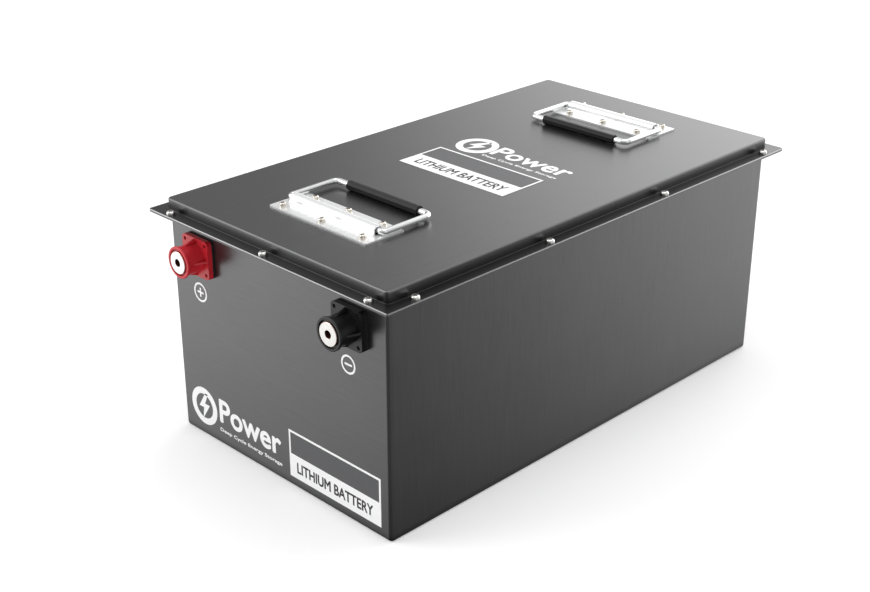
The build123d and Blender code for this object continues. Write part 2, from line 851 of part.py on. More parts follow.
string_seat = Plane(origin=(*string_end, post_top), x_dir=(0, 1, 0), z_dir=(0, 0, 1))
negative_origin = terminal_seats["negative"].from_local_coords((0, 0, -spigot_depth))
negative_seat = Plane(origin=negative_origin, x_dir=(-1, 0, 0), z_dir=(0, 1, 0))
save(cable_lug(string_seat, cell_stud_radius + hole_clearance), "string_lug")
save(cable_lug(negative_seat, stud_radius + hole_clearance), "negative_lug")

string_start = string_seat.from_local_coords((lug_reach, 0, lug_barrel_radius))
string_lead = lead(
    [
        tuple(string_start),
        (string_start.X, string_start.Y + 28, string_start.Z),
        (string_lead_x, string_start.Y + 68, (string_start.Z + lead_height) / 2),
        (string_lead_x, lead_end_y - 25, lead_height),
        (string_lead_x, lead_end_y, lead_height),
    ]
)
save(string_lead, "string_lead")

pack_start = negative_seat.from_local_coords((lug_reach, 0, lug_barrel_radius))
pack_lead = lead(
    [
        tuple(pack_start),
        (pack_start.X - 28, pack_start.Y, pack_start.Z),
        (pack_lead_x + 10, pack_start.Y + 4, (pack_start.Z + 2 * lead_height) / 3),
        (pack_lead_x, pack_start.Y + 42, lead_height),
        (pack_lead_x, pack_start.Y + 110, lead_height + 1),
        (pack_lead_x, lead_end_y - 40, lead_height),
        (pack_lead_x, lead_end_y, lead_height),
    ]
)
save(pack_lead, "pack_lead")
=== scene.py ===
import json
import math

import bmesh
import bpy
from mathutils import Matrix, Vector


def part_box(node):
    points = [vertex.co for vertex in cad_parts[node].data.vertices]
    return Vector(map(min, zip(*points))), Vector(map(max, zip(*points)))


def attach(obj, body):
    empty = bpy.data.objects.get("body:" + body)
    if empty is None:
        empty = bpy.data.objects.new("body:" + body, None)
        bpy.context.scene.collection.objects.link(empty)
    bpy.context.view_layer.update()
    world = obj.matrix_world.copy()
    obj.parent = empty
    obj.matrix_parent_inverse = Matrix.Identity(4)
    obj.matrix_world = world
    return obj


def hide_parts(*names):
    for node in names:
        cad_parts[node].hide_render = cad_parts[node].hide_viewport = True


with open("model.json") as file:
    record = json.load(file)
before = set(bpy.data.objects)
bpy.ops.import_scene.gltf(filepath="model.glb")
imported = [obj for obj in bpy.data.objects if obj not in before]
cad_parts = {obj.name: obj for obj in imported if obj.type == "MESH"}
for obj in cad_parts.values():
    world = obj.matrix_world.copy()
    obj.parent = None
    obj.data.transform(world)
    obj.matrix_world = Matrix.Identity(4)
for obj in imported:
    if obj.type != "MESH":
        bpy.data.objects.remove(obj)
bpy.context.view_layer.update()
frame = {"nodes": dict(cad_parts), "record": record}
nodes = frame["nodes"]
mm = 0.001
print("frame loaded:", len(nodes), "nodes")


# shader helpers: a signal is a socket that takes part in sums
class Signal:
    def __init__(self, finish, socket):
        self.finish = finish
        self.socket = socket

    def join(self, operation, other, swapped=False):
        pair = {0: other, 1: self} if swapped else {0: self, 1: other}
        return self.finish.add("ShaderNodeMath", {"operation": operation}, pair)

    def __add__(self, other):
        return self.join("ADD", other)

    def __radd__(self, other):
        return self.join("ADD", other, True)

    def __sub__(self, other):
        return self.join("SUBTRACT", other)

    def __rsub__(self, other):
        return self.join("SUBTRACT", other, True)

    def __mul__(self, other):
        return self.join("MULTIPLY", other)

    def __rmul__(self, other):
        return self.join("MULTIPLY", other, True)

    def __truediv__(self, other):
        return self.join("DIVIDE", other)

    def __pow__(self, other):
        return self.join("POWER", other)

    def __gt__(self, other):
        return self.join("GREATER_THAN", other)

    def __lt__(self, other):
        return self.join("LESS_THAN", other)

    def __abs__(self):
        return self.finish.add("ShaderNodeMath", {"operation": "ABSOLUTE"}, {0: self})


def weighed(shares, *signals):
    # the signals added up, each times its share
    total = signals[0] * shares[0]
    for share, signal in zip(shares[1:], signals[1:]):
        total = total + signal * share
    return total


class Sheet:
    # a node tree that nodes are added to
    def __init__(self, tree):
        self.tree = tree

    def add(self, kind, settings, inputs, output=0):
        made = self.tree.nodes.new(kind)
        for key, value in settings.items():
            if key == "stops":
                ramp = made.color_ramp.elements
                while len(ramp) < len(value):
                    ramp.new(0.5)
                for stop, (position, shade) in zip(ramp, value):
                    stop.position = position
                    stop.color = (shade, shade, shade, 1)
            else:
                setattr(made, key, value)
        for key, value in inputs.items():
            if isinstance(value, Signal):
                self.tree.links.new(value.socket, made.inputs[key])
            else:
                made.inputs[key].default_value = value
        return Signal(self, made.outputs[output])

    def split(self, vector):
        return [self.add("ShaderNodeSeparateXYZ", {}, {0: vector}, axis) for axis in "XYZ"]

    def sine(self, signal):
        return self.add("ShaderNodeMath", {"operation": "SINE"}, {0: signal})

    def ramp(self, signal, *stops):
        return self.add("ShaderNodeValToRGB", {"stops": stops}, {"Fac": signal})


class Finish(Sheet):
    # one material; fixed numbers go straight on the shader, varying ones are fed in
    def __init__(self, name, **fixed):
        self.material = bpy.data.materials.new(name)
        self.material.use_nodes = True
        super().__init__(self.material.node_tree)
        self.shader = self.tree.nodes["Principled BSDF"]
        for words, value in fixed.items():
            self.shader.inputs[words.replace("_", " ")].default_value = value
        self.place = self.add("ShaderNodeTexCoord", {}, {}, "Object")

    def feed(self, **signals):
        for words, signal in signals.items():
            self.tree.links.new(signal.socket, self.shader.inputs[words.replace("_", " ")])

    def stretched(self, across):
        # the object's own coordinates, multiplied by a fixed or varying amount on each axis
        return self.add(
            "ShaderNodeVectorMath", {"operation": "MULTIPLY"}, {0: self.place, 1: across}
        )

    def noise(self, scale, detail=3.0, rough=0.5, across=(1, 1, 1)):
        spot = self.stretched(across)
        inputs = {"Vector": spot, "Scale": scale, "Detail": detail, "Roughness": rough}
        return self.add("ShaderNodeTexNoise", {}, inputs)

    def specks(self, scale, across=(1, 1, 1)):
        inputs = {"Vector": self.stretched(across), "Scale": scale}
        return self.add("ShaderNodeTexVoronoi", {}, inputs, "Distance")

    def blend(self, amount, first, second):
        picked = [c if isinstance(c, Signal) else (*c, 1) for c in (first, second)]
        inputs = {"Factor": amount, 6: picked[0], 7: picked[1]}
        return self.add("ShaderNodeMix", {"data_type": "RGBA"}, inputs, 2)

    def bump(self, height, distance, strength=1.0, under=None):
        sockets = {"Height": height, "Distance": distance, "Strength": strength}
        if under is not None:
            sockets["Normal"] = under
        return self.add("ShaderNodeBump", {}, sockets)


# coated steel of the case and lid; noise is given as scale, detail and roughness
coatValues = {
    "dark": (0.115, 0.115, 0.117),
    "pale": (0.185, 0.185, 0.188),
    "metallic": 0.94,
    "roughness": 0.30,
    "roughSwing": 0.08,
    "acrossGrain": 2100.0,
    "alongGrain": 26.0,
    "faceTurn": 0.7,  # above this a face looks along an axis
    "grain": (1.0, 3.0, 0.55),
    "cloud": (7.0, 3.0, 0.6),
    "fine": (2400.0, 1.0, 0.5),
    "streak": ((0.28, 0.0), (0.72, 1.0)),
    "toneShares": (0.4, 0.3, 0.3),
    "roughShares": (0.6, 0.4),
    "bumpShares": (0.7, 0.3),
    "grainDepth": 0.00002,
    "bumpStrength": 0.35,
    # pale bare cut edge of the lid's flange, which also paints in a highlight line there; the
    # case flange's edge stays dark
    "cutEdgeAndHighlight": (0.50, 0.50, 0.51),
    "edgeWidth": 0.35 * mm,
    "edgeTurn": 0.6,  # cut edges look sideways
    "paintedShade": (0.002, 0.002, 0.002),  # painted shade: darkens the foot of the case and the foot of the lid's wall
    # how far up the painted shade reaches on the case and on the lid's wall, and how dark it gets
    "caseReach": 200.0 * mm,
    "caseShadeRamp": ((0.0, 0.30), (0.045, 0.80), (0.25, 0.93), (0.6, 1.0)),
    "lidReach": 16.0 * mm,
    "lidShadeRamp": ((0.1, 0.45), (0.85, 1.0)),
    "seamDrop": 0.1 * mm,
}


def coatedSteel(halfX, halfY, seam):
    v = coatValues
    coat = Finish("coated_steel", Metallic=v["metallic"], Specular_IOR_Level=0.5)
    facing = coat.add("ShaderNodeTexCoord", {}, {}, "Normal")
    nx, ny, nz = [abs(axis) for axis in coat.split(facing)]
    run = v["acrossGrain"] - v["alongGrain"]
    # brushed along X on the ends, along Y on the top, upright on the long sides
    grainWay = coat.add(
        "ShaderNodeCombineXYZ",
        {},
        {
            axis: v["acrossGrain"] - run * (turn > v["faceTurn"])
            for axis, turn in enumerate((ny, nz, nx))
        },
    )
    grain = coat.noise(*v["grain"], grainWay)
    cloud = coat.noise(*v["cloud"])
    fine = coat.noise(*v["fine"])
    streak = coat.ramp(grain, *v["streak"])
    tone = coat.blend(weighed(v["toneShares"], streak, cloud, fine), v["dark"], v["pale"])
    x, y, z = coat.split(coat.place)
    low = coat.ramp(z / v["caseReach"], *v["caseShadeRamp"])
    high = coat.ramp((z - seam) / v["lidReach"], *v["lidShadeRamp"])
    onLid = z > seam
    # painted shade: the case darkens towards its foot and the lid darkens at the foot of its wall
    tone = coat.blend(low * (1 - onLid) + high * onLid, v["paintedShade"], tone)
    # pale cut edge on the lid's flange only, partly bare metal and partly a painted highlight
    edge = (abs(x) > halfX - v["edgeWidth"]) + (abs(y) > halfY - v["edgeWidth"])
    edge = edge * (nz < v["edgeTurn"]) * onLid
    swing = v["roughSwing"] * weighed(v["roughShares"], streak, cloud)
    relief = weighed(v["bumpShares"], streak, fine)
    coat.feed(
        Base_Color=coat.blend(edge, tone, v["cutEdgeAndHighlight"]),
        Roughness=v["roughness"] - v["roughSwing"] / 2 + swing,
        Normal=coat.bump(relief, v["grainDepth"], v["bumpStrength"]),
    )
    return coat.material


# plated metals: bright and dull tones, metallic, roughness and its swing, share of scratches
platedValues = {
    "chrome_plate": {
        "bright": (0.97, 0.97, 0.97), "dull": (0.88, 0.89, 0.90),
        "metal": 0.55, "roughness": 0.27, "swing": 0.06, "scratched": 0.0,
    },
    "chrome_wire": {
        "bright": (0.96, 0.96, 0.96), "dull": (0.80, 0.81, 0.82),
        "metal": 0.9, "roughness": 0.16, "swing": 0.06, "scratched": 0.0,
    },
    "warm_nickel": {
        "bright": (0.82, 0.78, 0.71), "dull": (0.52, 0.47, 0.40),
        "metal": 1.0, "roughness": 0.24, "swing": 0.16, "scratched": 1.0,
    },
    "plated_steel": {
        "bright": (0.88, 0.87, 0.84), "dull": (0.62, 0.61, 0.58),
        "metal": 1.0, "roughness": 0.24, "swing": 0.16, "scratched": 1.0,
    },
    "backing_steel": {
        "bright": (0.62, 0.62, 0.60), "dull": (0.46, 0.46, 0.45),
        "metal": 1.0, "roughness": 0.38, "swing": 0.20, "scratched": 1.0,
    },
    "unit_aluminium": {
        "bright": (0.64, 0.65, 0.66), "dull": (0.50, 0.51, 0.52),
        "metal": 1.0, "roughness": 0.36, "swing": 0.18, "scratched": 1.0,
    },
    "copper": {
        "bright": (0.90, 0.52, 0.34), "dull": (0.60, 0.30, 0.18),
        "metal": 1.0, "roughness": 0.26, "swing": 0.22, "scratched": 1.0,
    },
}
platedGrain = {
    "wear": (55.0, 4.0, 0.62),
    "scratch": (900.0, 2.0, 0.5, (0.08, 1.0, 1.0)),
    "scratchStops": ((0.42, 0.0), (0.66, 1.0)),
    "pits": 1300.0,
    "pitStops": ((0.0, 0.0), (0.30, 1.0)),
    "toneShares": (0.7, 0.2),
    "roughShares": (0.6, 0.4),
    "roughMiddle": 0.3,
    "bumpShares": (0.5, 0.5),
    "depth": 0.000002,
    "bumpStrength": 0.15,
}


def platedMetal(name):
    v, g = platedValues[name], platedGrain
    metal = Finish(name, Metallic=v["metal"])
    wear = metal.noise(*g["wear"])
    scratch = v["scratched"] * metal.ramp(metal.noise(*g["scratch"]), *g["scratchStops"])
    pits = metal.ramp(metal.specks(g["pits"]), *g["pitStops"])
    swing = v["swing"] * (weighed(g["roughShares"], wear, scratch) - g["roughMiddle"])
    relief = weighed(g["bumpShares"], pits, scratch)
    metal.feed(
        Base_Color=metal.blend(weighed(g["toneShares"], wear, scratch), v["bright"], v["dull"]),
        Roughness=v["roughness"] + swing,
        Normal=metal.bump(relief, g["depth"], g["bumpStrength"]),
    )
    return metal.material


# tin plated terminal insert, bare copper showing at its rims, threaded bore whose bare copper is
# darkened with painted shade
insertValues = {
    "tin": (0.94, 0.93, 0.91),
    "dullTin": (0.80, 0.78, 0.74),
    "bare": (0.80, 0.42, 0.26),
    "bareShare": 0.55,
    "rings": ((0.27, 1.0), (0.34, 0.0), (0.86, 0.0), (0.93, 1.0)),
    "ringScale": 80.0,
    "ringWander": 0.05,
    "mottle": (260.0, 4.0, 0.6),
    # bare copper inside the bore, darkened with painted shade
    "bore": (0.070, 0.022, 0.012),
    "boreRadius": 3.9 * mm,
    "pitch": 1.25 * mm,
    "threadDepth": 0.0003,
    "threadStrength": 0.8,
    "turning": 22000.0,
    "turnedDepth": 0.000006,
    "turnedStrength": 0.3,
    "roughness": 0.2,
    "mottleSwing": 0.18,
    "boreSwing": 0.3,
}


def terminalMetal(centres):
    v = insertValues
    metal = Finish("tinned_copper", Metallic=1.0)
    x, y, z = metal.split(metal.place)
    # how far a point is from the nearer bore's axis
    first, second = [((x - cx) ** 2 + (z - cz) ** 2) ** 0.5 for cx, cz in centres]
    reach = metal.add("ShaderNodeMath", {"operation": "MINIMUM"}, {0: first, 1: second})
    mottle = metal.noise(*v["mottle"])
    ring = metal.ramp(reach * v["ringScale"] + mottle * v["ringWander"], *v["rings"])
    turned = metal.sine(reach * v["turning"])
    thread = metal.sine(y * (2 * math.pi / v["pitch"]))
    inBore = reach < v["boreRadius"]
    plating = metal.blend(mottle, v["tin"], v["dullTin"])
    face = metal.blend(ring * v["bareShare"], plating, v["bare"])
    rings = metal.bump(turned * (1 - inBore), v["turnedDepth"], v["turnedStrength"])
    metal.feed(
        # the bore is given the dark colour, which is partly bare copper and partly painted shade
        Base_Color=metal.blend(inBore, face, v["bore"]),
        Roughness=v["roughness"] + v["mottleSwing"] * mottle + v["boreSwing"] * inBore,
        Normal=metal.bump(thread * inBore, v["threadDepth"], v["threadStrength"], rings),
    )
    return metal.material


# plastics and rubbers: two tones, gloss, roughness, scale and depth of the grain
mouldedValues = {
    "grip_plastic": {
        "base": (0.005, 0.005, 0.005), "lift": (0.014, 0.014, 0.014),
        "gloss": 0.22, "roughness": 0.30, "grain": 1100.0, "depth": 0.00005,
    },
    "bush_plastic": {
        "base": (0.006, 0.006, 0.006), "lift": (0.014, 0.014, 0.014),
        "gloss": 0.5, "roughness": 0.62, "grain": 900.0, "depth": 0.00004,
    },
    "red_plastic": {
        "base": (0.46, 0.012, 0.020), "lift": (0.64, 0.024, 0.038),
        "gloss": 0.5, "roughness": 0.34, "grain": 700.0, "depth": 0.00003,
    },
    "black_plastic": {
        "base": (0.004, 0.004, 0.004), "lift": (0.012, 0.012, 0.012),
        "gloss": 0.5, "roughness": 0.36, "grain": 700.0, "depth": 0.00003,
    },
    "black_rubber": {
        "base": (0.010, 0.010, 0.010), "lift": (0.020, 0.020, 0.020),
        "gloss": 0.5, "roughness": 0.74, "grain": 1600.0, "depth": 0.00006,
    },
    "rim_gasket": {
        "base": (0.28, 0.28, 0.285), "lift": (0.40, 0.40, 0.405),
        "gloss": 0.5, "roughness": 0.62, "grain": 1400.0, "depth": 0.00006,
    },
    "cable_jacket": {
        "base": (0.014, 0.014, 0.014), "lift": (0.030, 0.030, 0.030),
        "gloss": 0.5, "roughness": 0.5, "grain": 900.0, "depth": 0.00003,
    },
    "foam": {
        "base": (0.030, 0.030, 0.031), "lift": (0.080, 0.080, 0.082),
        "gloss": 0.5, "roughness": 0.9, "grain": 480.0, "depth": 0.0004,
    },
}
mouldedGrain = {
    "cloud": (38.0, 3.0, 0.6),
    "grainDetail": 2.0,
    "dimpleScale": 0.8,
    "dimpleStops": ((0.0, 0.0), (0.45, 1.0)),
    "toneShares": (0.6, 0.3),
    "cloudSwing": 0.14,
    "grainSwing": 0.10,
    "bumpShares": (0.6, 0.4),
    "bumpStrength": 0.35,
}


def moulded(name):
    v, g = mouldedValues[name], mouldedGrain
    skin = Finish(name, Specular_IOR_Level=v["gloss"])
    cloud = skin.noise(*g["cloud"])
    grain = skin.noise(v["grain"], g["grainDetail"])
    dimple = skin.ramp(skin.specks(v["grain"] * g["dimpleScale"]), *g["dimpleStops"])
    swing = g["cloudSwing"] * (cloud - 0.5)
    relief = weighed(g["bumpShares"], dimple, grain)
    skin.feed(
        Base_Color=skin.blend(weighed(g["toneShares"], cloud, grain), v["base"], v["lift"]),
        Roughness=v["roughness"] + swing + g["grainSwing"] * (grain - 0.5),
        Normal=skin.bump(relief, v["depth"], g["bumpStrength"]),
    )
    return skin.material


# printing ink
inkValues = {
    "white": (0.95, 0.95, 0.95),
    "thinWhite": (0.84, 0.84, 0.84),
    "dark": (0.020, 0.020, 0.021),
    "thinDark": (0.05, 0.05, 0.052),
    "gloss": 0.4,
    "roughness": 0.42,
    "roughSwing": 0.16,
    "cover": (420.0, 4.0, 0.6),
    "missed": (1500.0, 2.0, 0.5),
    "missedStops": ((0.24, 1.0), (0.36, 0.0)),
    "toneShares": (0.4, 0.5),
    "depth": 0.00002,
    "bumpStrength": 0.3,
}


def printedInk(name, full, thin):
    v = inkValues
    ink = Finish(name, Specular_IOR_Level=v["gloss"])
    cover = ink.noise(*v["cover"])
    missed = ink.ramp(ink.noise(*v["missed"]), *v["missedStops"])
    ink.feed(
        Base_Color=ink.blend(weighed(v["toneShares"], cover, missed), full, thin),
        Roughness=v["roughness"] + v["roughSwing"] * cover,
        Normal=ink.bump(cover, v["depth"], v["bumpStrength"]),
    )
    return ink.material


# printed film of the two labels
labelValues = {
    "border": 2.2 * mm,
    "field": (0.105, 0.106, 0.110),
    "fieldPale": (0.135, 0.136, 0.140),
    "fieldMetal": 0.5,
    "grain": (1.0, 2.0, 0.5, (11.0, 1500.0, 1500.0)),
    "cover": (500.0, 4.0, 0.6),
    "coverShare": 0.5,
    "roughness": 0.36,
    "roughSwing": 0.16,
    "depth": 0.00002,
    "bumpStrength": 0.3,
    "bandShare": 0.49,  # how much of a label is the lettering band
    "frontBandRise": 0.5 * mm,
}


def labelFilm(name, along, up, highUp, lowAlong, highAlong, bandTop):
    # white film with a grey field above the white lettering band
    v = labelValues
    film = Finish(name, Specular_IOR_Level=0.5)
    places = film.split(film.place)
    a, u = places[along], places[up]
    grain = film.noise(*v["grain"])
    cover = film.noise(*v["cover"])
    inside = (a > lowAlong + v["border"]) * (a < highAlong - v["border"])
    inside = inside * (u > bandTop) * (u < highUp - v["border"])
    white = film.blend(cover * v["coverShare"], inkValues["white"], inkValues["thinWhite"])
    field = film.blend(grain, v["field"], v["fieldPale"])
    film.feed(
        Base_Color=film.blend(inside, white, field),
        Roughness=v["roughness"] + v["roughSwing"] * cover,
        Metallic=v["fieldMetal"] * inside,
        Normal=film.bump(cover, v["depth"], v["bumpStrength"]),
    )
    return film.material


# shrink wrapped cells of the sealed interior
cellValues = {
    "wrap": (0.030, 0.085, 0.30),
    "faded": (0.045, 0.13, 0.40),
    "cloud": (24.0, 3.0, 0.6),
    "creases": (160.0, 3.0, 0.6, (1, 1, 0.3)),
    "creaseStops": ((0.45, 0.0), (0.6, 1.0)),
    "roughness": 0.30,
    "roughSwing": 0.2,
    "crease": 0.2 * mm,
    "bumpStrength": 0.3,
}


def wrappedCell():
    v = cellValues
    wrap = Finish("cell_can", Specular_IOR_Level=0.5)
    cloud = wrap.noise(*v["cloud"])
    crease = wrap.ramp(wrap.noise(*v["creases"]), *v["creaseStops"])
    wrap.feed(
        Base_Color=wrap.blend(cloud, v["wrap"], v["faded"]),
        Roughness=v["roughness"] + v["roughSwing"] * crease,
        Normal=wrap.bump(crease, v["crease"], v["bumpStrength"]),
    )
    return wrap.material


# glass and resin board of the sealed interior
boardValues = {
    "resin": (0.50, 0.44, 0.17),
    "glass": (0.64, 0.58, 0.30),
    "threads": 5200.0,
    "cloud": (60.0, 3.0, 0.6),
    "toneShares": (0.3, 0.6),
    "roughness": 0.45,
    "roughSwing": 0.15,
    "weave": 0.05 * mm,
    "bumpStrength": 0.4,
}


def insulatingBoard():
    v = boardValues
    board = Finish("insulating_board", Specular_IOR_Level=0.5)
    x, y, z = board.split(board.place)
    warp = board.sine((x + z) * v["threads"])
    weft = board.sine((y + z) * v["threads"])
    cloud = board.noise(*v["cloud"])
    tone = weighed(v["toneShares"], warp * weft, cloud)
    board.feed(
        Base_Color=board.blend(tone, v["resin"], v["glass"]),
        Roughness=v["roughness"] + v["roughSwing"] * cloud,
        Normal=board.bump(warp * weft, v["weave"], v["bumpStrength"]),
    )
    return board.material


rimLow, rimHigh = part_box("lid")
seats = [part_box(name + "_terminal_insert") for name in ("positive", "negative")]
centres = [((low[0] + high[0]) / 2, (low[2] + high[2]) / 2) for low, high in seats]
seam = rimLow[2] - coatValues["seamDrop"]

finishes = {name: platedMetal(name) for name in platedValues}
finishes.update({name: moulded(name) for name in mouldedValues})
finishes["coated_steel"] = coatedSteel(rimHigh[0], rimHigh[1], seam)
finishes["tinned_copper"] = terminalMetal(centres)
finishes["white_ink"] = printedInk("white_ink", inkValues["white"], inkValues["thinWhite"])
finishes["dark_ink"] = printedInk("dark_ink", inkValues["dark"], inkValues["thinDark"])
finishes["cell_can"] = wrappedCell()
finishes["insulating_board"] = insulatingBoard()

frontLow, frontHigh = map(Vector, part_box("front_label"))
topLow, topHigh = map(Vector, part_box("top_label"))
frontBand = frontLow.z + (frontHigh.z - frontLow.z) * labelValues["bandShare"]
frontBand += labelValues["frontBandRise"]
topBand = topLow.y + (topHigh.y - topLow.y) * labelValues["bandShare"]
finishes["front_film"] = labelFilm(
    "front_film", 0, 2, frontHigh.z, frontLow.x, frontHigh.x, frontBand
)
finishes["top_film"] = labelFilm("top_film", 0, 1, topHigh.y, topLow.x, topHigh.x, topBand)
print("finishes made:", len(finishes))

slots = {part["node"]: part["material_slot"] for part in frame["record"]["subparts"]}
ownFinish = {"front_label": "front_film", "top_label": "top_film", "lid_gasket": "rim_gasket"}
ownFinish.update({side + "_handle_bail": "chrome_wire" for side in ("front", "rear")})
for name, node in nodes.items():
    chosen = finishes[ownFinish.get(name, slots[name])]
    for place in node.material_slots:
        place.material = chosen
print("finishes put on the parts")


# printed pieces: lettering, emblems
def settle(name, mesh, finish, body):
    piece = bpy.data.objects.new(name, mesh)
    bpy.context.scene.collection.objects.link(piece)
    mesh.materials.clear()
    mesh.materials.append(finishes[finish])
    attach(piece, body)
    return piece


def newVerts(made):
    return [item for item in made["geom"] if isinstance(item, bmesh.types.BMVert)]


def raiseInk(shape, lift):
    # thickens a flat outline upwards so that it stands on the face
    bmesh.ops.remove_doubles(shape, verts=shape.verts, dist=1e-7)
    made = bmesh.ops.extrude_face_region(shape, geom=shape.faces[:])
    bmesh.ops.translate(shape, vec=(0, 0, lift), verts=newVerts(made))
    bmesh.ops.recalc_face_normals(shape, faces=shape.faces)


def layOn(shape, middle, plane):
    # moves a print to its place on a face
    bmesh.ops.translate(shape, vec=(middle[0], middle[1], 0), verts=shape.verts)
    bmesh.ops.transform(shape, matrix=plane, verts=shape.verts)


letterValues = {
    "curveSteps": 6,
    # struck again a little to each side, which makes the letters bold
    "strikes": ((-1, 0), (1, 0), (0, -1), (0, 1), (-0.7, 0.7), (0.7, -0.7)),
    "strikeRise": 0.002 * mm,
}


def lettering(name, words, middle, size, plane, lift, finish, weight):
    v = letterValues
    curve = bpy.data.curves.new(name + "_outline", "FONT")
    curve.body = words
    curve.align_x = "CENTER"
    curve.resolution_u = v["curveSteps"]
    holder = bpy.data.objects.new(name + "_outline", curve)
    bpy.context.scene.collection.objects.link(holder)
    bpy.context.view_layer.update()
    flat = holder.evaluated_get(bpy.context.evaluated_depsgraph_get())
    mesh = bpy.data.meshes.new_from_object(flat)
    bpy.data.objects.remove(holder)
    bpy.data.curves.remove(curve)
    mesh.name = name
    shape = bmesh.new()
    shape.from_mesh(mesh)
    low = [min(vert.co[k] for vert in shape.verts) for k in (0, 1)]
    high = [max(vert.co[k] for vert in shape.verts) for k in (0, 1)]
    centring = (-(low[0] + high[0]) / 2, -(low[1] + high[1]) / 2, 0)
    fitting = (size[0] / (high[0] - low[0]), size[1] / (high[1] - low[1]), 1)
    bmesh.ops.translate(shape, vec=centring, verts=shape.verts)
    bmesh.ops.scale(shape, vec=fitting, verts=shape.verts)
    raiseInk(shape, lift)
    first = shape.verts[:] + shape.edges[:] + shape.faces[:]
    for step, (right, up) in enumerate(v["strikes"]):
        again = bmesh.ops.duplicate(shape, geom=first)
        shift = (right * weight, up * weight, (step + 1) * v["strikeRise"])
        bmesh.ops.translate(shape, vec=shift, verts=newVerts(again))
    layOn(shape, middle, plane)
    shape.to_mesh(mesh)
    shape.free()
    return settle(name, mesh, finish, "root")


# stroke, outline steps and bolt are given for a radius of one
emblemValues = {
    "stroke": 0.17,
    "segments": 96,
    "bolt": (
        (0.10, 0.72), (-0.42, -0.10), (-0.06, -0.10), (-0.16, -0.72),
        (0.42, 0.14), (0.05, 0.14), (0.30, 0.72),
    ),
}


def emblem(name, middle, radius, plane, lift):
    # a ring with a lightning bolt in it
    v = emblemValues
    shape = bmesh.new()
    bmesh.ops.create_circle(shape, cap_ends=False, segments=v["segments"], radius=radius)
    made = bmesh.ops.extrude_edge_only(shape, edges=shape.edges[:])
    bmesh.ops.scale(shape, vec=(1 - 2 * v["stroke"],) * 2 + (1,), verts=newVerts(made))
    shape.faces.new([shape.verts.new((x * radius, y * radius, 0)) for x, y in v["bolt"]])
    raiseInk(shape, lift)
    layOn(shape, middle, plane)
    mesh = bpy.data.meshes.new(name)
    shape.to_mesh(mesh)
    shape.free()
    return settle(name, mesh, "white_ink", "root")


printValues = {
    "ink": 0.08 * mm,
    "onLabel": 0.38 * mm,
    # middle across, middle up, radius
    "frontEmblem": (-119.6 * mm, 33.6 * mm, 20.6 * mm),
    "topEmblem": (-46.5 * mm, 41.0 * mm, 23.0 * mm),
    # middle across, middle up, width, height, boldness
    "frontName": (-47.0 * mm, 38.5 * mm, 94.0 * mm, 25.0 * mm, 0.9 * mm),
    "frontLine": (-47.0 * mm, 16.6 * mm, 96.0 * mm, 4.8 * mm, 0.16 * mm),
    "frontBand": (76.7 * mm, 23.4 * mm, 105.0 * mm, 11.0 * mm, 0.34 * mm),
    "topName": (28.5 * mm, 44.5 * mm, 100.0 * mm, 24.5 * mm, 0.8 * mm),
    "topLine": (26.5 * mm, 24.0 * mm, 100.0 * mm, 4.8 * mm, 0.16 * mm),
    "topBand": (1.5 * mm, -34.5 * mm, 120.0 * mm, 13.0 * mm, 0.30 * mm),
}
p = printValues
# faces that carry print: local x to the right, local y up, local z off the face
lidPlane = Matrix.Translation((0, 0, topLow.z))
caseFace = Vector(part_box("positive_mark")[1]).y
casePlane = Matrix(((1, 0, 0, 0), (0, 0, -1, caseFace), (0, 1, 0, 0), (0, 0, 0, 1)))
planes = {"front": casePlane, "top": lidPlane}
for side, plane in planes.items():
    mark = p[side + "Emblem"]
    emblem(side + "_emblem", mark[:2], mark[2], plane, p["ink"])
texts = (
    # piece, words, where, lift, finish, slot
    ("_name", "Power", "Name", p["ink"], "white_ink", "white_ink"),
    ("_line", "Deep Cycle Energy Storage", "Line", p["ink"], "white_ink", "white_ink"),
    ("_words", "LITHIUM BATTERY", "Band", p["onLabel"], "dark_ink", "label_film"),
)
for side, plane in planes.items():
    for piece, words, where, lift, finish, slot in texts:
        spot = p[side + where]
        lettering(side + piece, words, spot[:2], spot[2:4], plane, lift, finish, spot[4])
print("print laid on the faces")


# octagonal grips with crisp edges, bored for the wire
gripValues = {
    "sides": 8,
    "edge": 0.45 * mm,
    "edgeSteps": 3,
    "edgeProfile": 0.5,
    "bore": 3.05 * mm,
    "boreSteps": 32,
}


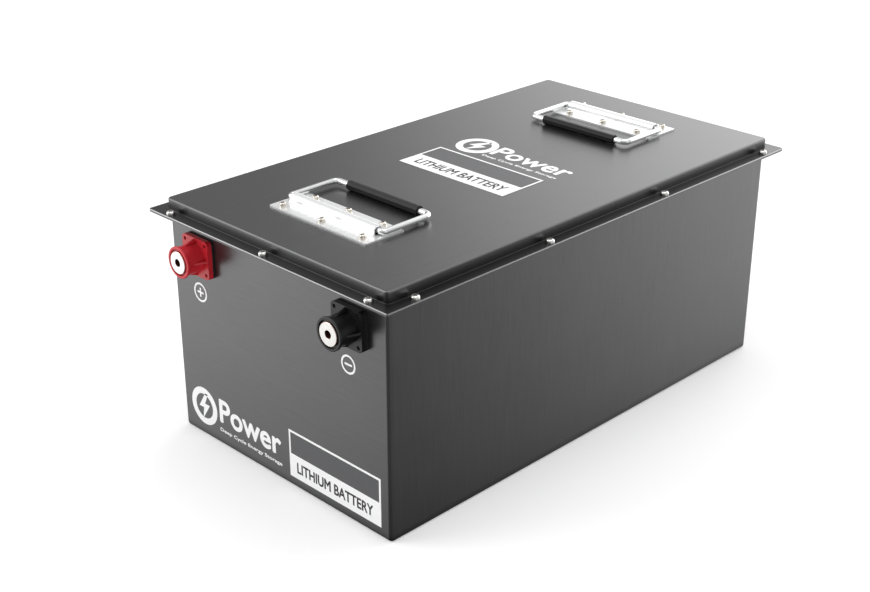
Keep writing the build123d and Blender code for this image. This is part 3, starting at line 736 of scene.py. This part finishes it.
def grip(side):
    v = gripValues
    low, high = map(Vector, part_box(side + "_handle_grip"))
    middle = (low + high) / 2
    flat = (high.z - low.z) / 2
    length = high.x - low.x
    halfSide = math.pi / v["sides"]
    shape = bmesh.new()
    turned = Matrix.Rotation(halfSide, 4, "Z")
    corner = flat / math.cos(halfSide)
    bmesh.ops.create_circle(shape, segments=v["sides"], radius=corner, matrix=turned)
    bmesh.ops.create_circle(shape, segments=v["boreSteps"], radius=v["bore"])
    made = bmesh.ops.bridge_loops(shape, edges=shape.edges[:])
    made = bmesh.ops.extrude_face_region(shape, geom=made["faces"])
    bmesh.ops.translate(shape, vec=(0, 0, length), verts=newVerts(made))
    outer = [vert for vert in shape.verts if vert.co.xy.length > flat]
    sides = [edge for edge in shape.edges if all(vert in outer for vert in edge.verts)]
    bmesh.ops.bevel(
        shape,
        geom=sides,
        offset=v["edge"],
        segments=v["edgeSteps"],
        profile=v["edgeProfile"],
        affect="EDGES",
        material=-1,
    )
    bmesh.ops.recalc_face_normals(shape, faces=shape.faces)
    bmesh.ops.translate(shape, vec=(0, 0, -length / 2), verts=shape.verts)
    lying = Matrix.Rotation(math.pi / 2, 3, "Y")
    bmesh.ops.rotate(shape, cent=(0, 0, 0), matrix=lying, verts=shape.verts)
    bmesh.ops.translate(shape, vec=middle, verts=shape.verts)
    mesh = bpy.data.meshes.new(side + "_grip_octagon")
    shape.to_mesh(mesh)
    shape.free()
    name = side + "_grip_octagon"
    piece = settle(name, mesh, "grip_plastic", side + "_bail")
    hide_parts(side + "_handle_grip")


for side in ("front", "rear"):
    grip(side)
print("grips made")

# floor and light
roomValues = {
    "floor": (0.84, 0.84, 0.84),
    "floorMottle": 0.99,
    "floorNoise": (3.0, 2.0, 0.5),
    "floorRoughness": 0.9,
    "floorGloss": 0.1,
    "floorGlow": 0.26,
    "floorReach": 20.0,
    "sky": 0.34,
    "overhead": 0.50,
    "overheadRise": ((0.35, 0.0), (0.85, 1.0)),
    "behind": 3.2,
    "behindRise": ((0.62, 0.0), (0.94, 1.0)),
    "frontLeft": 2.45,
    "leftRise": ((0.36, 0.0), (0.80, 1.0)),
    "frontRise": ((0.05, 0.0), (0.45, 1.0)),
    "right": 0.7,
    "rightRise": ((0.78, 0.0), (1.0, 1.0)),
    "heightRise": ((0.04, 0.02), (0.21, 0.36), (0.30, 0.61), (0.62, 1.0)),
    "backdrop": 1.1,
    "lightsAim": (0, 0, 0.12),
    "lights": (
        # place, size, watts
        ("key", (-1.8, -2.4, 2.8), (1.6, 1.2), 22.0),
        ("above", (0.2, 0.3, 3.2), (2.0, 2.0), 20.0),
    ),
}
r = roomValues

floorMesh = bpy.data.meshes.new("floor")
shape = bmesh.new()
bmesh.ops.create_grid(shape, x_segments=1, y_segments=1, size=r["floorReach"])
shape.to_mesh(floorMesh)
shape.free()
floor = bpy.data.objects.new("floor", floorMesh)
bpy.context.scene.collection.objects.link(floor)
floorPaint = Finish(
    "floor_paper",
    Roughness=r["floorRoughness"],
    Specular_IOR_Level=r["floorGloss"],
    Emission_Strength=r["floorGlow"],
    Emission_Color=(1, 1, 1, 1),
)
paper = floorPaint.noise(*r["floorNoise"])
darker = [shade * r["floorMottle"] for shade in r["floor"]]
floorPaint.feed(Base_Color=floorPaint.blend(paper, r["floor"], darker))
floorMesh.materials.append(floorPaint.material)
floor.visible_glossy = False

# a soft room: brighter overhead, pale panels behind, at the front left and right, darker low down
world = bpy.data.worlds.new("studio")
world.use_nodes = True
room = Sheet(world.node_tree)
wayX, wayY, wayZ = room.split(room.add("ShaderNodeTexCoord", {}, {}, "Generated"))
height = wayZ * 0.5 + 0.5
behind = r["behind"] * room.ramp(wayY, *r["behindRise"])
front = r["frontLeft"] * room.ramp(0 - wayX, *r["leftRise"])
front = front * room.ramp(0 - wayY, *r["frontRise"])
right = r["right"] * room.ramp(wayX, *r["rightRise"])
glow = (r["sky"] + behind + front + right) * room.ramp(height, *r["heightRise"])
glow = glow + r["overhead"] * room.ramp(wayZ, *r["overheadRise"])
seen = room.add("ShaderNodeLightPath", {}, {}, "Is Camera Ray")
glow = glow * (1 - seen) + r["backdrop"] * seen  # seen straight on, the room is an even white
background = world.node_tree.nodes["Background"]
background.inputs["Color"].default_value = (1, 1, 1, 1)
room.tree.links.new(glow.socket, background.inputs["Strength"])
bpy.context.scene.world = world

for name, spot, size, watts in r["lights"]:
    lamp = bpy.data.lights.new(name, "AREA")
    lamp.shape = "RECTANGLE"
    lamp.size, lamp.size_y = size
    lamp.energy = watts
    stand = bpy.data.objects.new(name, lamp)
    stand.location = spot
    aim = Vector(r["lightsAim"]) - Vector(spot)
    stand.rotation_euler = aim.to_track_quat("-Z", "Y").to_euler()
    bpy.context.scene.collection.objects.link(stand)

cameraValues = {
    "target": (-0.0686, 0.0, 0.0812),
    "distance": 1.6023,
    "azimuth": 45.03,
    "elevation": 24.92,
    "roll": -0.03,
    "lens": 60.83,
    "sensor": 36.0,
}
c = cameraValues
turn, rise = math.radians(c["azimuth"]), math.radians(c["elevation"])
back = Vector((math.sin(turn) * math.cos(rise), -math.cos(turn) * math.cos(rise), math.sin(rise)))
lensData = bpy.data.cameras.new("camera")
lensData.lens = c["lens"]
lensData.sensor_width = c["sensor"]
camera = bpy.data.objects.new("camera", lensData)
camera.location = Vector(c["target"]) + back * c["distance"]
roll = Matrix.Rotation(math.radians(c["roll"]), 3, "Z").to_quaternion()
camera.rotation_euler = (back.to_track_quat("Z", "Y") @ roll).to_euler()
bpy.context.scene.collection.objects.link(camera)
bpy.context.scene.camera = camera
bpy.context.scene.view_settings.view_transform = "Standard"
print("room, lights and camera set")
